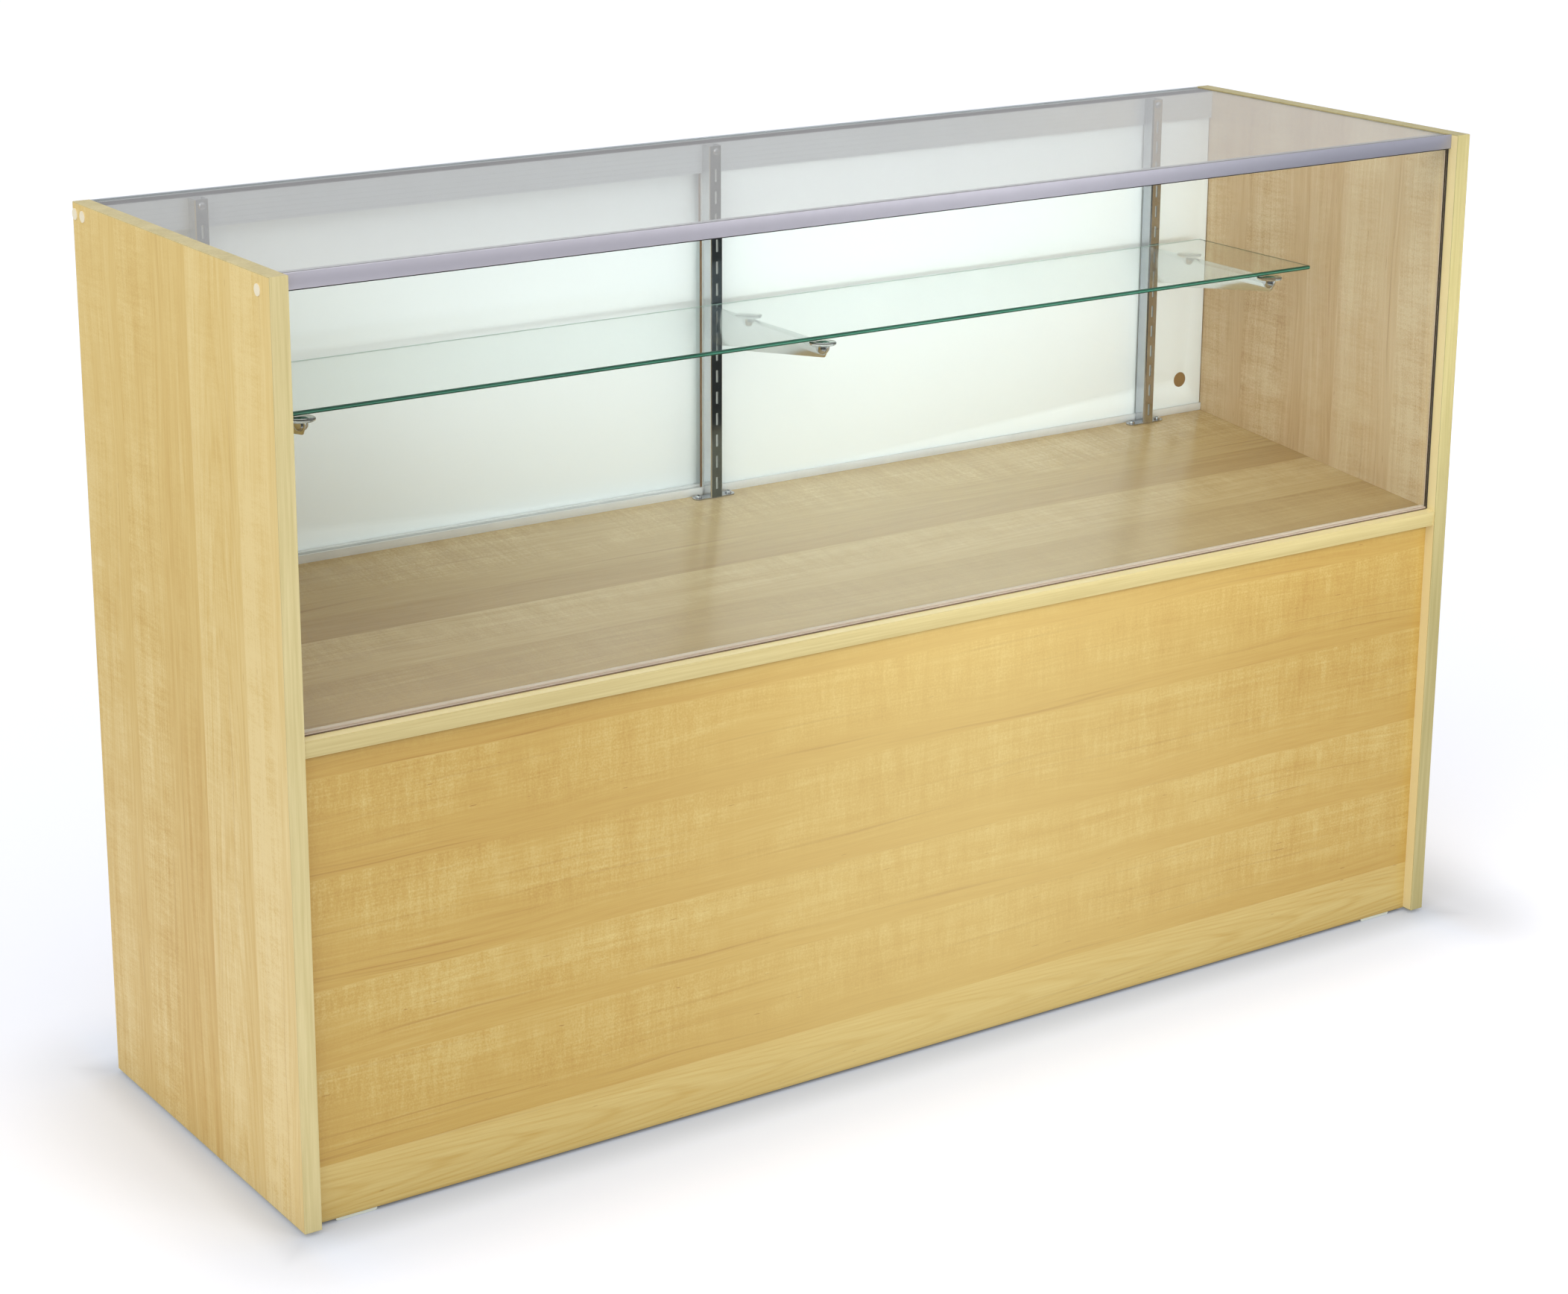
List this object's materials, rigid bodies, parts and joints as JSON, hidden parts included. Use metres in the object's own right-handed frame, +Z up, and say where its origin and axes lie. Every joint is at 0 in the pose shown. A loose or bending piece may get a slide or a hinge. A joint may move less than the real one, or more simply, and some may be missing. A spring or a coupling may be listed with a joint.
{
  "type": "store display case",
  "caption": "Glass-fronted store display case on an open-backed base: maple end panels, sloping deck, glass shelf on slotted standards, two sliding rear doors.",
  "frame": {"origin": "on the floor, below the middle of the case's width and depth", "axes": "+X to the customer's right along the case, +Y from the glass front back to the clerk's side, +Z up"},
  "size_m": [1.5256, 0.4572, 0.9652],
  "materials": {
    "maple_upright": "satin maple laminate, upright grain",
    "maple_front": "satin maple laminate, grain along the case",
    "maple_deck": "satin maple laminate, grain along the case",
    "edging": "satin edging strip",
    "satin_aluminium": "satin anodised",
    "glass": "clear, with polished green edges",
    "glazing_tape": "matte",
    "black_seal": "matte",
    "door_board": "white enamelled hardboard",
    "brown_plastic": "matte",
    "chrome": "bright",
    "bracket_chrome": "bright",
    "clear_plastic": "clear gloss",
    "pale_plastic": "satin",
    "cap_plastic": "satin",
    "zinc_steel": "zinc plated",
    "beech": "bare wood"
  },
  "bodies": {
    "case": {"left_end_panel": "maple_upright", "right_end_panel": "maple_upright", "left_panel_edging": "edging", "right_panel_edging": "edging", "deck_panel": "maple_deck", "deck_edging": "edging", "front_panel": "maple_front", "bottom_panel": "maple_deck", "centre_partition": "maple_upright", "rear_toe_rail": "maple_front", "front_top_rail": "satin_aluminium", "rear_top_rail": "satin_aluminium", "lower_door_track": "satin_aluminium", "top_glass": "glass", "front_glass": "glass", "glass_shelf": "glass", "front_glazing_tape": "glazing_tape", "rear_glazing_tape": "glazing_tape", "front_rail_gasket": "black_seal", "glass_sill_seal": "black_seal", "left_glass_seal": "black_seal", "right_glass_seal": "black_seal", "left_standard": "chrome", "centre_standard": "chrome", "right_standard": "chrome", "left_standard_clip": "chrome", "centre_standard_clip": "chrome", "right_standard_clip": "chrome", "left_bracket": "bracket_chrome", "centre_bracket": "bracket_chrome", "right_bracket": "bracket_chrome", "left_front_rest": "chrome", "left_rear_rest": "chrome", "centre_front_rest": "chrome", "centre_rear_rest": "chrome", "right_front_rest": "chrome", "right_rear_rest": "chrome", "shelf_rest_pads": "clear_plastic", "front_left_glide": "pale_plastic", "front_right_glide": "pale_plastic", "rear_left_glide": "pale_plastic", "rear_right_glide": "pale_plastic", "glide_nails": "zinc_steel", "standard_top_screws": "chrome", "clip_screws": "chrome", "track_screws": "zinc_steel", "rail_screws": "zinc_steel", "screw_cover_caps": "cap_plastic", "cam_bolts": "zinc_steel", "cam_discs": "zinc_steel", "wood_dowels": "beech"},
    "left_door_leaf": {"left_door": "door_board", "left_door_pull": "brown_plastic"},
    "right_door_leaf": {"right_door": "door_board", "right_door_pull": "brown_plastic"}
  },
  "joints": [
    {"name": "left_door_slide", "type": "slide", "parent": "case", "child": "left_door_leaf", "axis": [-1, 0, 0], "range_m": [-0.721, 0]},
    {"name": "right_door_slide", "type": "slide", "parent": "case", "child": "right_door_leaf", "axis": [-1, 0, 0], "range_m": [0, 0.721]}
  ]
}
